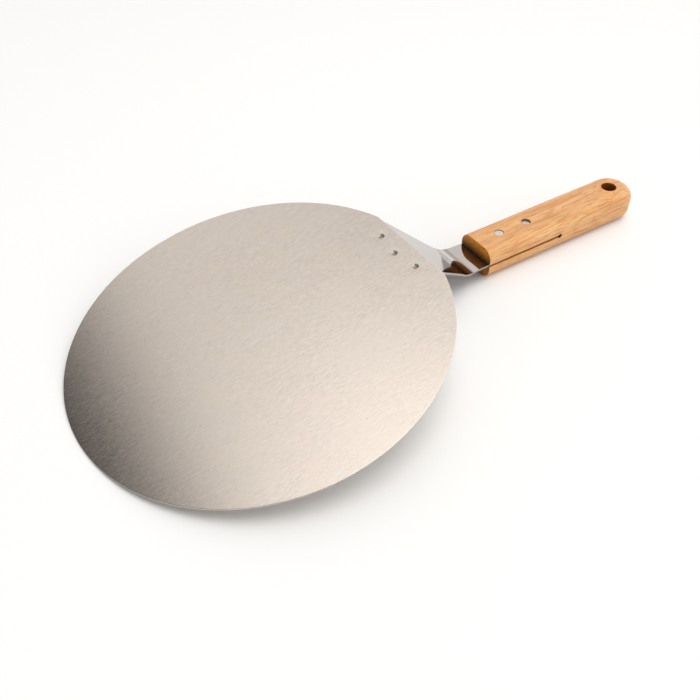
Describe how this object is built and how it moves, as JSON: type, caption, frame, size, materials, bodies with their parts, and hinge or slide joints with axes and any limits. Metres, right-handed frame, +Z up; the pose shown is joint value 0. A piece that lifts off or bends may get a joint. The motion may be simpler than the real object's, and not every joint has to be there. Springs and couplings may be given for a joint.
{
  "type": "pizza peel",
  "caption": "Round steel peel blade with a straight rear edge, riveted to a cranked fan-shaped bracket whose tang is pinned in a slit wooden handle with a hang hole.",
  "frame": {"origin": "on the table the peel lies on, under the middle of its overall length and width", "axes": "+X from the blade's front edge to the handle's hang hole, +Z up from the table through the smooth side of the blade, XZ the plane of symmetry"},
  "size_m": [0.4557, 0.254, 0.047],
  "materials": {
    "blade_steel": "brushed along the handle's direction",
    "bracket_steel": "smooth polished sheet",
    "rivet_steel": "satin, dished end",
    "handle_wood": "sanded light hardwood, clear oiled",
    "pin_aluminium": "satin cut ends"
  },
  "bodies": {
    "root": {"blade": "blade_steel", "bracket": "bracket_steel", "rivet_left": "rivet_steel", "rivet_middle": "rivet_steel", "rivet_right": "rivet_steel", "handle": "handle_wood", "handle_pin_front": "pin_aluminium", "handle_pin_rear": "pin_aluminium"}
  },
  "joints": []
}
